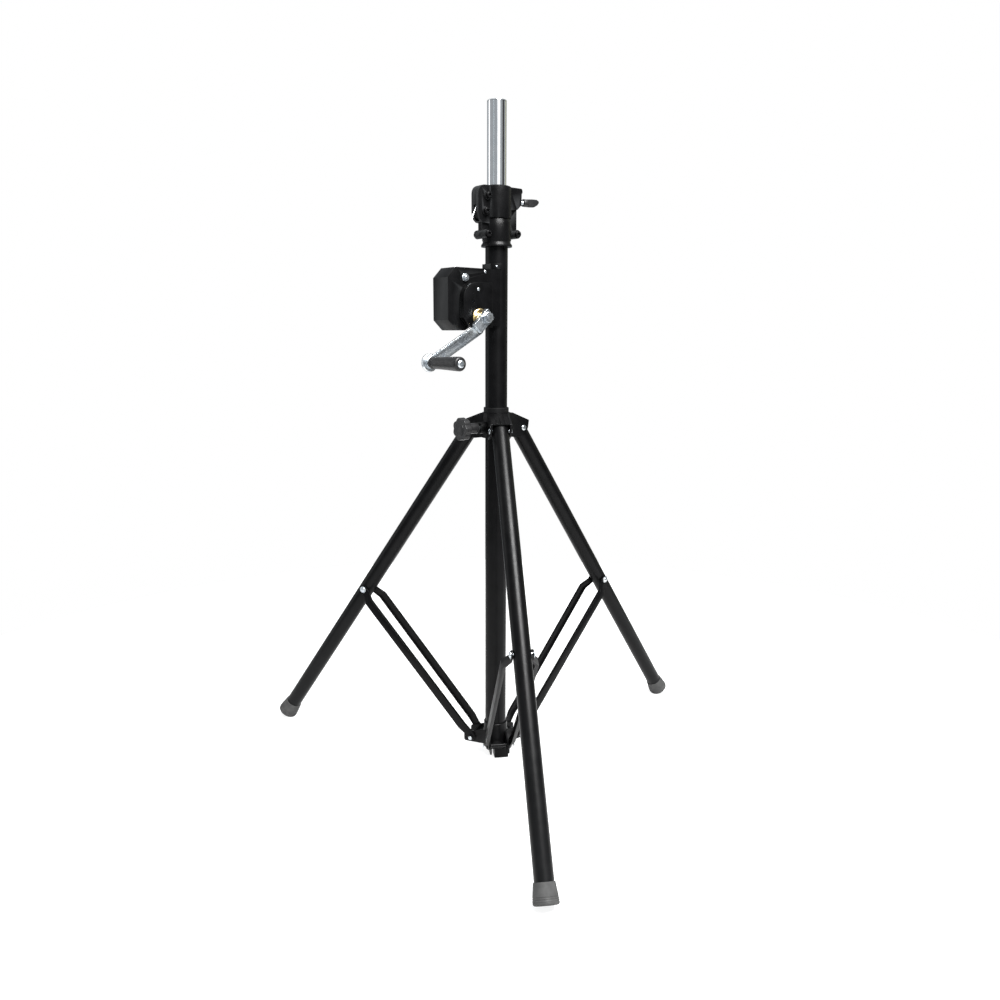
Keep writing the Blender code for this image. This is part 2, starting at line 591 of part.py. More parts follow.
def make_winch_cover(winch_side):
    """A folded sheet box whose sides run on past the tube."""
    t = COVER_SHEET
    start = 10
    outer = [(start, 1039), (118, 1039), (137, 1019.5), (137, 940), (117, 921), (97, 921), (81, 929.5),
             (start, 929.5)]
    inner = [(start - 9, 1039 - t), (118 - 0.4 * t, 1039 - t), (137 - t, 1019.5 - 0.4 * t),
             (137 - t, 940 + 0.4 * t), (117 - 0.4 * t, 921 + t), (97 + 0.3 * t, 921 + t),
             (81 + 0.3 * t, 929.5 + t), (start - 9, 929.5 + t)]
    cover = prism("winch_cover", outer, -COVER_HALF, COVER_HALF, BLACK, winch_side)
    inside = prism("cover_inside", inner, -COVER_HALF + t, COVER_HALF - t, parent=winch_side)
    mast_gap = box("cover_mast_gap", (-5, -COVER_HALF + t - 0.01, 900), (26.6, COVER_HALF - t + 0.01, 1100),
                   parent=winch_side)
    cable_slot = box("cover_cable_slot", (94, -5, 1030), (114, 5, 1050), parent=winch_side)
    cut(cover, inside, mast_gap, cable_slot)
    for label, radius, x, z in (("hub", DRUM_HUB_R, DRUM_X, DRUM_Z), ("shaft", SHAFT_R, SHAFT_X, SHAFT_Z),
                                ("bolt", 4, 96.6, 1020.3)):
        hole = rod(f"cover_{label}_hole", radius + 2 * RUN, 10, 40, parent=winch_side, centre=(x, 0, z),
                   segments=12)
        cut(cover, hole)
    seat = COVER_HALF + 0.3
    lathe("winch_bolt", [
        (0, FRAME_IN + 0.1), (4, FRAME_IN + 0.1), (4, seat), (7.5, seat), (7.5, seat + 1.4),
        (6, seat + 1.5), (6, seat + 5.4), (5, seat + 6), (0, seat + 6),
    ], ZINC, winch_side, "y", (96.6, 0, 1020.3), 12)


def gear_cover_outline(inset):
    centre, radius = (DRUM_X - 0.6, DRUM_Z - 0.6), 31.5 - inset
    curve = arc(centre, radius, 0, math.pi / 2, 10)
    return [(40 + inset, 927 + inset), (93, 927 + inset), (centre[0] + radius, 945)] + curve + \
        [(40 + inset, centre[1] + radius)]


def make_gear_cover(winch_side):
    low, high, wall = COVER_HALF + RUN, GEAR_COVER_OUT, 1.5
    cover = prism("gear_cover", gear_cover_outline(0), low, high, BLACK, winch_side)
    soften(cover, 1.0, 2, 50)
    inside = prism("gear_cover_inside", gear_cover_outline(wall), low - 5, high - wall, parent=winch_side)
    bush_hole = rod("gear_cover_bush_hole", 15 + RUN, 30, 50, parent=winch_side,
                    centre=(SHAFT_X, 0, SHAFT_Z), segments=20)
    peep_hole = rod("gear_cover_oil_hole", 2.8, 30, 50, parent=winch_side, centre=(87.5, 0, 976),
                    segments=12)
    cut(cover, inside, bush_hole, peep_hole)
    bore = SHAFT_R + RUN
    lathe("shaft_bush", [(bore, GEAR_TO + 0.4), (15, GEAR_TO + 0.4), (15, high + RUN), (17.5, high + RUN),
                         (17.5, high + 2.4), (16.5, high + 3.4), (bore, high + 3.4)], BRASS, winch_side, "y",
          (SHAFT_X, 0, SHAFT_Z), 20)


def make_drum(winch_side):
    """The drum with its gear on the end of the hub, on a fixed axle, with the rope's first turns."""
    axis = empty("drum_axis", (DRUM_X, 0, DRUM_Z), parent=winch_side)
    bore = AXLE_R + RUN
    lathe("cable_drum", [
        (bore, -DRUM_HALF), (FLANGE_R, -DRUM_HALF), (FLANGE_R, -DRUM_HALF + 1.6), (DRUM_R, -DRUM_HALF + 1.6),
        (DRUM_R, DRUM_HALF - 1.6), (FLANGE_R, DRUM_HALF - 1.6), (FLANGE_R, DRUM_HALF),
        (DRUM_HUB_R, DRUM_HALF), (DRUM_HUB_R, GEAR_TO), (bore, GEAR_TO),
    ], ZINC, axis, "y", segments=28)
    towards_pinion = math.atan2(SHAFT_Z - DRUM_Z, SHAFT_X - DRUM_X)
    gear = prism("drum_gear", gear_outline(GEAR_TEETH, towards_pinion + math.pi / GEAR_TEETH),
                 GEAR_FROM, GEAR_TO, ZINC, axis)
    gear_bore = rod("gear_bore", DRUM_HUB_R + RUN, 10, 50, parent=axis, segments=20)
    cut(gear, gear_bore)
    rod("drum_axle", AXLE_R, -FRAME_OUT + 0.1, GEAR_TO + 2.5, ZINC, winch_side,
        centre=(DRUM_X, 0, DRUM_Z))
    per_turn = 18
    count = round(DRUM_TURNS * per_turn)
    points = []
    for i in range(count + 1):
        angle = CABLE_LEAVES - math.radians(6) - math.tau * i / per_turn
        points.append((DRUM_CABLE_R * math.cos(angle), -COIL_PITCH * i / per_turn,
                       DRUM_CABLE_R * math.sin(angle)))
    rope("cable_on_drum", points, ROPE, axis)


def cable_direction():
    """The angle, seen along the drum, at which the rope leaves both the drum and the pulley."""
    across, up = DRUM_X - PULLEY_X, PULLEY_Z - DRUM_Z
    return math.atan2(across, up) + math.asin((DRUM_CABLE_R - PULLEY_CABLE_R) / math.hypot(across, up))


CABLE_LEAVES = cable_direction()


def make_cable(winch_side):
    """The rope from the drum, over the pulley and down between the two tubes."""
    start = Vector((DRUM_X, DRUM_Z)) + DRUM_CABLE_R * Vector((math.cos(CABLE_LEAVES), math.sin(CABLE_LEAVES)))
    start += 14 * Vector((-math.sin(CABLE_LEAVES), math.cos(CABLE_LEAVES)))
    over_pulley = arc((PULLEY_X, PULLEY_Z), PULLEY_CABLE_R, CABLE_LEAVES, math.pi, 14)
    points = [(x, 0, z) for x, z in [start] + over_pulley]
    rope("cable_outer", points, ROPE, winch_side)
    rod("cable_inner", CABLE_R - 0.1, INNER_BOTTOM + 4.2, PULLEY_Z - 0.4, ROPE, winch_side, axis="z",
        centre=(PULLEY_X - PULLEY_CABLE_R, 0, 0), segments=8)


def make_crank(winch_side):
    axis = empty("crank_axis", (SHAFT_X, 0, SHAFT_Z), parent=winch_side)
    shaft = rod("crank_shaft", SHAFT_R, FRAME_IN + 0.1, 70.5, ZINC, axis, segments=16)
    towards_drum = math.atan2(DRUM_Z - SHAFT_Z, DRUM_X - SHAFT_X)
    pinion = prism("crank_pinion", gear_outline(PINION_TEETH, towards_drum), GEAR_FROM, GEAR_TO, parent=axis)
    join(shaft, pinion)
    make_crank_yoke(axis)
    arm_start = Vector((ARM_X - SHAFT_X, ARM_Z - SHAFT_Z))
    arm_end = Vector((GRIP_X - SHAFT_X, GRIP_Z - SHAFT_Z))
    along = (arm_end - arm_start).normalized()
    slope = math.atan2(along.y, along.x)
    half = 11.0
    outline = arc(arm_end, half, slope - math.pi / 2, slope + math.pi / 2, 8) + \
        arc(arm_start, half, slope + math.pi / 2, slope + math.pi * 1.5, 8)
    arm = prism("crank_arm", outline, 48.2, 52.7, ZINC, axis)
    for label, place in (("grip", arm_end), ("yoke", arm_start)):
        hole = rod(f"arm_{label}_hole", 4 + RUN, 40, 60, parent=axis, centre=(place.x, 0, place.y),
                   segments=12)
        cut(arm, hole)
    make_grip(axis)


def make_crank_yoke(axis):
    """The block that carries the arm beside the shaft, and the nut that holds it on."""
    turn = math.radians(-44)
    corners = [(-13, -12), (31, -12), (31, 12), (-13, 12)]
    turned = [(x * math.cos(turn) - z * math.sin(turn), x * math.sin(turn) + z * math.cos(turn))
              for x, z in corners]
    yoke = prism("crank_yoke", rounded(turned, (3, 3, 3, 3), 3), 53.2, 63.0, ZINC, axis)
    hub = rod("yoke_hub", 10, 42.8, 54, parent=axis)
    rivet = rod("yoke_rivet", 4, 46.8, 54, parent=axis, centre=(ARM_X - SHAFT_X, 0, ARM_Z - SHAFT_Z),
                segments=12)
    bore = rod("yoke_bore", SHAFT_R + RUN, 30, 80, parent=axis)
    join(yoke, hub, rivet)
    cut(yoke, bore)
    hexagon = [(10.5 * math.cos(turn + math.tau * i / 6), 10.5 * math.sin(turn + math.tau * i / 6))
               for i in range(6)]
    nut = prism("crank_nut", hexagon, 63.3, 70.0, ZINC, axis)
    nut_bore = rod("nut_bore", SHAFT_R + RUN, 50, 90, parent=axis)
    cut(nut, nut_bore)


def make_grip(axis):
    grip_axis = empty("grip_axis", (GRIP_X - SHAFT_X, 0, GRIP_Z - SHAFT_Z), parent=axis)
    end = 142.0
    lathe("grip_pin", [
        (0, 41), (14, 41), (17, 42), (17.2, 46), (15.5, 47.8), (4, 47.8), (4, end + 0.4), (7.4, end + 0.4),
        (7.4, end + 1.4), (6, end + 2.6), (0, end + 3),
    ], ZINC, grip_axis, "y", segments=20)
    bore = 4 + RUN
    lathe("crank_grip", [
        (bore, 53.2), (9.6, 53.2), (11, 54.6), (11.2, 80), (12.2, 110), (13, 132), (13, end - 3.2),
        (11.6, end - 0.6), (10, end), (bore, end),
    ], PLASTIC, grip_axis, "y", segments=20)


def main():
    leg_sides = [empty(f"leg_side_{i}", turn=(0, 0, math.radians(azimuth)))
                 for i, azimuth in enumerate(LEG_AZIMUTHS, 1)]
    winch_side = empty("winch_side", turn=(0, 0, math.radians(WINCH_AZIMUTH)))
    make_mast()
    make_lower_hub(leg_sides)
    make_collar(leg_sides, winch_side)
    make_knob(winch_side)
    for number, side in enumerate(leg_sides, 1):
        make_leg(number, side)
    make_head(winch_side)
    make_winch_frame(winch_side)
    make_winch_cover(winch_side)
    make_gear_cover(winch_side)
    make_drum(winch_side)
    make_cable(winch_side)
    make_crank(winch_side)


main()
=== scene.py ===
"""The looks of the crank lighting stand: painted and plated metal, moulded grips and small fittings.

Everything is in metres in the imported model's frame. Pieces are turned or extruded in a local frame:
a side frame has x outward from the mast, y across and z up.
"""

import json
import math

import bmesh
import bpy
from mathutils import Matrix, Vector


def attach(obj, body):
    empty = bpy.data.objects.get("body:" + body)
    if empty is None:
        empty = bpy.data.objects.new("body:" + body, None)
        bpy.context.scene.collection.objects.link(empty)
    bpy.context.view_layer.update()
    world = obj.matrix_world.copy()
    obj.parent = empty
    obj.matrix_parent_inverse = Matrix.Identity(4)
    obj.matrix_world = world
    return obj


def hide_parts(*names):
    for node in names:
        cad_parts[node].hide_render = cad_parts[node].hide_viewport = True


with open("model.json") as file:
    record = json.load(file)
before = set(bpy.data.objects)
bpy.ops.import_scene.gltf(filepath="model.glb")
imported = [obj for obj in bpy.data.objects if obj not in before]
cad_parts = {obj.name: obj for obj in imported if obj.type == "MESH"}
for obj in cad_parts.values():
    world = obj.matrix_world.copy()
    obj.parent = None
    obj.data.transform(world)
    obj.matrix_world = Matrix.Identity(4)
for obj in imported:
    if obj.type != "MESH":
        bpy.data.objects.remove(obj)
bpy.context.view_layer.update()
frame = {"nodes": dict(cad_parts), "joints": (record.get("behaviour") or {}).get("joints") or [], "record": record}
JOINTS = {joint["name"]: joint for joint in frame["joints"]}
LEGS = (1, 2, 3)
MM = 0.001


# ---------------------------------------------------------------- camera, light and floor

CAMERA_AT = (-0.2707, -1.7565, 0.9082)
CAMERA_HEADING = math.radians(-9.035)
CAMERA_PITCH = math.radians(10.69)
CAMERA_ROLL = math.radians(0.19)
CAMERA_LENS = 31.04


def make_camera():
    camera = bpy.data.objects.new("camera", bpy.data.cameras.new("camera"))
    bpy.context.scene.collection.objects.link(camera)
    turn = (Matrix.Rotation(CAMERA_HEADING, 4, "Z") @ Matrix.Rotation(math.pi / 2 - CAMERA_PITCH, 4, "X")
            @ Matrix.Rotation(CAMERA_ROLL, 4, "Z"))
    camera.matrix_world = Matrix.Translation(CAMERA_AT) @ turn
    camera.data.lens = CAMERA_LENS
    camera.data.sensor_width = 36
    camera.data.clip_end = 50
    bpy.context.scene.camera = camera


def area_light(name, at, look_at, size, power, colour=(1, 1, 1)):
    light = bpy.data.lights.new(name, "AREA")
    light.shape = "RECTANGLE"
    light.size, light.size_y = size
    light.energy = power
    light.color = colour
    obj = bpy.data.objects.new(name, light)
    obj.location = at
    obj.rotation_euler = (Vector(look_at) - Vector(at)).to_track_quat("-Z", "Y").to_euler()
    obj.visible_camera = False
    bpy.context.scene.collection.objects.link(obj)


def card(name, at, size, colour):
    """A matt card beside the set, which only shows as a darker band in polished metal."""
    bm = bmesh.new()
    bmesh.ops.create_grid(bm, x_segments=1, y_segments=1, size=0.5)
    bmesh.ops.scale(bm, verts=bm.verts, vec=(*size, 1))
    mesh = bpy.data.meshes.new(name)
    bm.to_mesh(mesh)
    bm.free()
    material = bpy.data.materials.new(name)
    material.use_nodes = True
    shader = material.node_tree.nodes["Principled BSDF"]
    shader.inputs["Base Color"].default_value = (*colour, 1)
    shader.inputs["Roughness"].default_value = 1.0
    mesh.materials.append(material)
    flag = bpy.data.objects.new(name, mesh)
    flag.location = at
    flag.rotation_euler = (Vector((0, 0, at[2])) - Vector(at)).to_track_quat("Z", "Y").to_euler()
    flag.visible_camera = False
    flag.visible_shadow = False
    bpy.context.scene.collection.objects.link(flag)


def make_world():
    """White behind the object, and a pale grey room for what the metal and the paint reflect."""
    world = bpy.data.worlds.new("studio")
    world.use_nodes = True
    nodes, links = world.node_tree.nodes, world.node_tree.links
    room = nodes["Background"]
    room.inputs["Color"].default_value = (0.9, 0.95, 1, 1)
    room.inputs["Strength"].default_value = 0.4
    backdrop = nodes.new("ShaderNodeBackground")
    backdrop.inputs["Color"].default_value = (1, 1, 1, 1)
    path = nodes.new("ShaderNodeLightPath")
    mix = nodes.new("ShaderNodeMixShader")
    links.new(path.outputs["Is Camera Ray"], mix.inputs[0])
    links.new(room.outputs[0], mix.inputs[1])
    links.new(backdrop.outputs[0], mix.inputs[2])
    links.new(mix.outputs[0], nodes["World Output"].inputs["Surface"])
    bpy.context.scene.world = world
    bpy.context.scene.view_settings.view_transform = "Standard"


def make_floor():
    bm = bmesh.new()
    bmesh.ops.create_circle(bm, cap_ends=True, segments=96, radius=1.7)
    mesh = bpy.data.meshes.new("floor")
    bm.to_mesh(mesh)
    bm.free()
    floor = bpy.data.objects.new("floor", mesh)
    floor.location = (0, 0, -0.0005)
    bpy.context.scene.collection.objects.link(floor)
    material = bpy.data.materials.new("floor")
    material.use_nodes = True
    shader = material.node_tree.nodes["Principled BSDF"]
    shader.inputs["Base Color"].default_value = (0.35, 0.35, 0.35, 1)
    shader.inputs["Roughness"].default_value = 0.95
    shader.inputs["Specular IOR Level"].default_value = 0.0
    shader.inputs["Emission Color"].default_value = (1, 1, 1, 1)
    shader.inputs["Emission Strength"].default_value = 0.85
    mesh.materials.append(material)


def make_studio():
    make_world()
    make_floor()
    middle = (0, 0, 0.75)
    area_light("overhead_light", (0, 0, 4.2), (0, 0, 0), (5, 5), 60)
    area_light("key_light", (0.7, -1.9, 3.1), (0, -0.15, 0.6), (1.9, 1.1), 430)
    area_light("front_softbox", (0.65, -2.5, 1.2), middle, (1.5, 2.4), 10)
    area_light("side_softbox", (-2.1, 0.7, 1.2), middle, (0.7, 2.2), 7)
    card("black_card", (2.1, -0.57, 1.1), (1.1, 2.4), (0.004, 0.004, 0.004))
    card("olive_card", (1.9, 1.1, 1.1), (1.2, 2.4), (0.16, 0.16, 0.12))
    card("grey_card", (-1.7, -1.7, 1.1), (0.45, 2.4), (0.16, 0.18, 0.19))


# ---------------------------------------------------------------- materials


def new_material(name):
    material = bpy.data.materials.new(name)
    material.use_nodes = True
    return material, material.node_tree.nodes, material.node_tree.links


def noise(nodes, links, scale, detail=4.0, stretch=(1, 1, 1)):
    coordinates = nodes.new("ShaderNodeTexCoord")
    mapping = nodes.new("ShaderNodeMapping")
    mapping.inputs["Scale"].default_value = stretch
    texture = nodes.new("ShaderNodeTexNoise")
    texture.inputs["Scale"].default_value = scale
    texture.inputs["Detail"].default_value = detail
    links.new(coordinates.outputs["Object"], mapping.inputs["Vector"])
    links.new(mapping.outputs["Vector"], texture.inputs["Vector"])
    return texture.outputs["Fac"]


def ramp(nodes, links, source, stops):
    """A colour ramp over source, with stops of (position, colour or grey)."""
    node = nodes.new("ShaderNodeValToRGB")
    elements = node.color_ramp.elements
    while len(elements) < len(stops):
        elements.new(0.5)
    for element, (position, value) in zip(elements, stops):
        element.position = position
        colour = value if isinstance(value, tuple) else (value, value, value)
        element.color = (*colour, 1)
    links.new(source, node.inputs["Fac"])
    return node.outputs["Color"]


def bump(nodes, links, source, depth, strength=1.0, before=None):
    node = nodes.new("ShaderNodeBump")
    node.inputs["Strength"].default_value = strength
    node.inputs["Distance"].default_value = depth
    links.new(source, node.inputs["Height"])
    if before is not None:
        links.new(before, node.inputs["Normal"])
    return node.outputs["Normal"]


def paint(name, dark, light, rough, grain_scale, grain_depth):
    """Satin black paint: a fine orange peel, cloudy gloss and edges rubbed a little paler."""
    material, nodes, links = new_material(name)
    shader = nodes["Principled BSDF"]
    clouds = noise(nodes, links, 34, 3)
    tone = ramp(nodes, links, clouds, [(0.3, dark), (0.75, light)])
    wear = nodes.new("ShaderNodeNewGeometry")
    edge = ramp(nodes, links, wear.outputs["Pointiness"], [(0.57, 0.0), (0.70, 1.0)])
    mix = nodes.new("ShaderNodeMix")
    mix.data_type = "RGBA"
    links.new(edge, mix.inputs["Factor"])
    links.new(tone, mix.inputs[6])
    mix.inputs[7].default_value = (0.016, 0.0165, 0.017, 1)
    links.new(mix.outputs[2], shader.inputs["Base Color"])
    low, high = rough
    links.new(ramp(nodes, links, noise(nodes, links, 60, 5), [(0.3, low), (0.7, high)]),
              shader.inputs["Roughness"])
    shader.inputs["Specular IOR Level"].default_value = 0.1
    links.new(bump(nodes, links, noise(nodes, links, grain_scale, 2), grain_depth), shader.inputs["Normal"])
    return material


def plated(name, colours, rough, scale, stretch, depth):
    """Plated steel: colour clouds and a grain that can be drawn out along one direction."""
    material, nodes, links = new_material(name)
    shader = nodes["Principled BSDF"]
    shader.inputs["Metallic"].default_value = 1.0
    links.new(ramp(nodes, links, noise(nodes, links, 70, 4), [(0.3, colours[0]), (0.55, colours[1]),
                                                              (0.8, colours[2])]),
              shader.inputs["Base Color"])
    grain = noise(nodes, links, scale, 5, stretch)
    links.new(ramp(nodes, links, grain, [(0.25, rough[0]), (0.75, rough[1])]), shader.inputs["Roughness"])
    links.new(bump(nodes, links, grain, depth), shader.inputs["Normal"])
    return material


def moulded(name, dark, light, rough, scale, depth, shine):
    """Rubber or plastic with a fine moulded grain and dusty high spots."""
    material, nodes, links = new_material(name)
    shader = nodes["Principled BSDF"]
    links.new(ramp(nodes, links, noise(nodes, links, 55, 5), [(0.3, dark), (0.75, light)]),
              shader.inputs["Base Color"])
    links.new(ramp(nodes, links, noise(nodes, links, 120, 4), [(0.3, rough[0]), (0.7, rough[1])]),
              shader.inputs["Roughness"])
    shader.inputs["Specular IOR Level"].default_value = shine
    links.new(bump(nodes, links, noise(nodes, links, scale, 3), depth), shader.inputs["Normal"])
    return material


def wire_rope(name):
    """Twisted strands, as diagonal ridges round the wire, with painted shade in the grooves between them."""
    material, nodes, links = new_material(name)
    shader = nodes["Principled BSDF"]
    shader.inputs["Metallic"].default_value = 0.5
    coordinates = nodes.new("ShaderNodeTexCoord")
    wave = nodes.new("ShaderNodeTexWave")
    wave.bands_direction = "DIAGONAL"
    wave.inputs["Scale"].default_value = 260
    wave.inputs["Distortion"].default_value = 0.4
    links.new(coordinates.outputs["Object"], wave.inputs["Vector"])
    # painted shade: the base colour follows the ridges' wave and is darker in the grooves between strands
    links.new(ramp(nodes, links, wave.outputs["Fac"], [(0.1, (0.50, 0.51, 0.52)), (0.7, (0.88, 0.89, 0.90))]),
              shader.inputs["Base Color"])
    links.new(ramp(nodes, links, noise(nodes, links, 300, 2), [(0.3, 0.28), (0.7, 0.45)]),
              shader.inputs["Roughness"])
    links.new(bump(nodes, links, wave.outputs["Fac"], 0.0002), shader.inputs["Normal"])
    return material


MATERIALS = {
    "black_paint": paint("black_paint", (0.0010, 0.0010, 0.0011), (0.0024, 0.0024, 0.0026), (0.28, 0.38), 900,
                         0.00006),
    "cast_black": paint("cast_black", (0.0012, 0.0012, 0.0013), (0.0030, 0.0030, 0.0032), (0.26, 0.38), 520,
                        0.00014),
    "chrome": plated("chrome", ((0.80, 0.82, 0.83), (0.86, 0.87, 0.88), (0.90, 0.91, 0.91)), (0.05, 0.11),
                     260, (1, 1, 0.05), 0.000004),
    "zinc": plated("zinc", ((0.42, 0.46, 0.50), (0.55, 0.58, 0.60), (0.62, 0.62, 0.58)), (0.22, 0.42), 420,
                   (1, 1, 1), 0.00005),
    "brass": plated("brass", ((0.72, 0.52, 0.22), (0.84, 0.66, 0.34), (0.90, 0.76, 0.46)), (0.18, 0.32), 300,
                    (1, 1, 1), 0.00002),
    "rubber": moulded("rubber", (0.026, 0.026, 0.026), (0.046, 0.046, 0.045), (0.6, 0.85), 700, 0.00012, 0.3),
    "black_plastic": moulded("black_plastic", (0.005, 0.005, 0.0053), (0.012, 0.0118, 0.012),
                             (0.30, 0.44), 800, 0.00009, 0.3),
    "nylon": moulded("nylon", (0.002, 0.002, 0.0021), (0.005, 0.005, 0.0052), (0.35, 0.5), 600, 0.00006,
                     0.12),
    "wire_rope": wire_rope("wire_rope"),
}


# ---------------------------------------------------------------- building pieces


def side_frame(joint):
    """The frame of the side whose across direction is the joint's axis."""
    across = Vector(JOINTS[joint]["axis"]).normalized()
    up = Vector((0, 0, 1))
    out = across.cross(up)
    return Matrix((out, across, up)).transposed().to_4x4()


WINCH = side_frame("crank_spin")
LEG_SIDES = {k: side_frame(f"leg_fold_{k}") for k in LEGS}


def local(side, joint):
    """The place of a joint in a side frame, in metres."""
    return side.inverted() @ Vector(JOINTS[joint]["pos_m"])


def across_at(side, x, z):
    """A frame whose z axis runs across the side through (x, z)."""
    return side @ Matrix.Translation((x, 0, z)) @ Matrix.Rotation(-math.pi / 2, 4, "X")


def outward_at(side, z):
    """A frame whose z axis runs outward from the mast at height z."""
    return side @ Matrix.Translation((0, 0, z)) @ Matrix.Rotation(math.pi / 2, 4, "Y")


def add_piece(name, bm, matrix, slot, body, replaced=(), smooth=True, sharp=38):
    bmesh.ops.remove_doubles(bm, verts=bm.verts, dist=0.000001)
    bmesh.ops.recalc_face_normals(bm, faces=bm.faces)
    mesh = bpy.data.meshes.new(name)
    bm.to_mesh(mesh)
    bm.free()
    if smooth:
        mesh.shade_smooth()
        mesh.set_sharp_from_angle(angle=math.radians(sharp))
    mesh.materials.append(MATERIALS[slot])
    obj = bpy.data.objects.new(name, mesh)
    bpy.context.scene.collection.objects.link(obj)
    obj.matrix_world = matrix
    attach(obj, body)
    if replaced:
        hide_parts(*replaced)
    return obj


def turned(name, profile, matrix, slot, body, replaced=(), steps=64, closed=True):
    """A turned piece from (radius, height) points in millimetres, about the matrix's z axis."""
    bm = bmesh.new()
    points = [bm.verts.new((r * MM, 0, h * MM)) for r, h in profile]
    pairs = list(zip(points, points[1:])) + ([(points[-1], points[0])] if closed else [])
    edges = [bm.edges.new(pair) for pair in pairs]
    bmesh.ops.spin(bm, geom=points + edges, cent=(0, 0, 0), axis=(0, 0, 1), dvec=(0, 0, 0),
                   angle=math.tau, steps=steps, use_merge=True)
    bmesh.ops.dissolve_degenerate(bm, dist=0.0000005, edges=bm.edges)
    return add_piece(name, bm, matrix, slot, body, replaced)


def extruded(name, outline, low, high, matrix, slot, body, replaced=(), edge=0.3):
    """A flat outline in the matrix's xy plane, in millimetres, from low to high along z, with soft edges."""
    bm = bmesh.new()
    face = bm.faces.new([bm.verts.new((x * MM, y * MM, low * MM)) for x, y in outline])
    made = bmesh.ops.extrude_face_region(bm, geom=[face])["geom"]
    moved = [v for v in made if isinstance(v, bmesh.types.BMVert)]
    bmesh.ops.translate(bm, verts=moved, vec=(0, 0, (high - low) * MM))
    piece = add_piece(name, bm, matrix, slot, body, replaced)
    if edge:
        soften(piece, edge)
    return piece


def soften(obj, width, segments=3):
    modifier = obj.modifiers.new("edges", "BEVEL")
    modifier.width = width * MM
    modifier.segments = segments
    modifier.limit_method = "ANGLE"
    modifier.angle_limit = math.radians(40)
    modifier.harden_normals = True


def cut(obj, cutter):
    modifier = obj.modifiers.new("cut", "BOOLEAN")
    modifier.object = cutter
    modifier.operation = "DIFFERENCE"
    modifier.solver = "EXACT"


def hexagon(radius, phase=0.0):
    return [(radius * math.cos(phase + math.tau * i / 6), radius * math.sin(phase + math.tau * i / 6))
            for i in range(6)]


# ---------------------------------------------------------------- carried-over CAD nodes

EDGE_WIDTHS = {"black_paint": 0.5, "cast_black": 0.7, "zinc": 0.35, "black_plastic": 0.8}


def dress_nodes():
    """Every CAD node that stays in view gets its slot's material and smooth shading, and soft edges where its slot
    is in EDGE_WIDTHS.
    """
    slots = {part["node"]: part["material_slot"] for part in frame["record"]["subparts"]}
    for name, obj in frame["nodes"].items():
        slot = slots[name]
        obj.data.materials.clear()
        obj.data.materials.append(MATERIALS[slot])
        for polygon in obj.data.polygons:
            polygon.use_smooth = True
        weld = obj.modifiers.new("weld", "WELD")
        weld.merge_threshold = 0.00001
        flat = obj.modifiers.new("flat", "DECIMATE")
        flat.decimate_type = "DISSOLVE"
        flat.angle_limit = math.radians(0.5)
        if slot in EDGE_WIDTHS:
            edges = obj.modifiers.new("edges", "BEVEL")
            edges.width = EDGE_WIDTHS[slot] * MM
            edges.segments = 3
            edges.limit_method = "ANGLE"
            edges.angle_limit = math.radians(42)
        split = obj.modifiers.new("split", "EDGE_SPLIT")
        split.split_angle = math.radians(40)


# ---------------------------------------------------------------- mast, legs and feet


def span(node, matrix):
    """(lowest corner, highest corner) of a CAD node in a frame, in millimetres."""
    inverse = matrix.inverted()
    places = [inverse @ v.co / MM for v in frame["nodes"][node].data.vertices]
    return (Vector([min(p[i] for p in places) for i in range(3)]),
            Vector([max(p[i] for p in places) for i in range(3)]))


UPRIGHT = Matrix.Identity(4)


def ring_profile(outer, bore, low, high, chamfer=0.5):
    """A tube's section with a small chamfer at each rim."""
    return [(bore, high), (outer - chamfer, high), (outer, high - chamfer), (outer, low + chamfer),
            (outer - chamfer, low), (bore, low)]


def make_mast_pieces():
    low, high = span("outer_tube", UPRIGHT)
    turned("outer_tube_shell", ring_profile(high.x, high.x - 1.2, low.z, high.z), UPRIGHT, "black_paint",
           "mast", ["outer_tube"], 96)
    low, high = span("inner_tube", UPRIGHT)
    turned("inner_tube_shell", ring_profile(high.x, high.x - 1.65, low.z, high.z, 0.2), UPRIGHT, "chrome",
           "inner_mast", ["inner_tube"], 96)
    low, high = span("top_plug", UPRIGHT)
    r, top = high.x, high.z
    turned("top_cap", [(0, low.z), (17, low.z), (17.1, top - 2.7), (r, top - 2.7), (r, top - 1.2),
                       (r - 0.4, top - 0.4), (r - 1.2, top), (r - 4, top), (r - 4.6, top - 0.7),
                       (0, top - 0.7)], UPRIGHT, "chrome", "inner_mast", ["top_plug"], 96, closed=False)


def leg_frame(k):
    """The frame of a leg: its origin on the hinge pin, its z axis up along the leg and its y across it."""
    hinge, brace = (Vector(JOINTS[f"{name}_fold_{k}"]["pos_m"]) for name in ("leg", "brace"))
    up = (hinge - brace).normalized()
    across = Vector(JOINTS[f"leg_fold_{k}"]["axis"]).normalized()
    turn = Matrix((across.cross(up), across, up)).transposed().to_4x4()
    return Matrix.Translation(hinge) @ turn


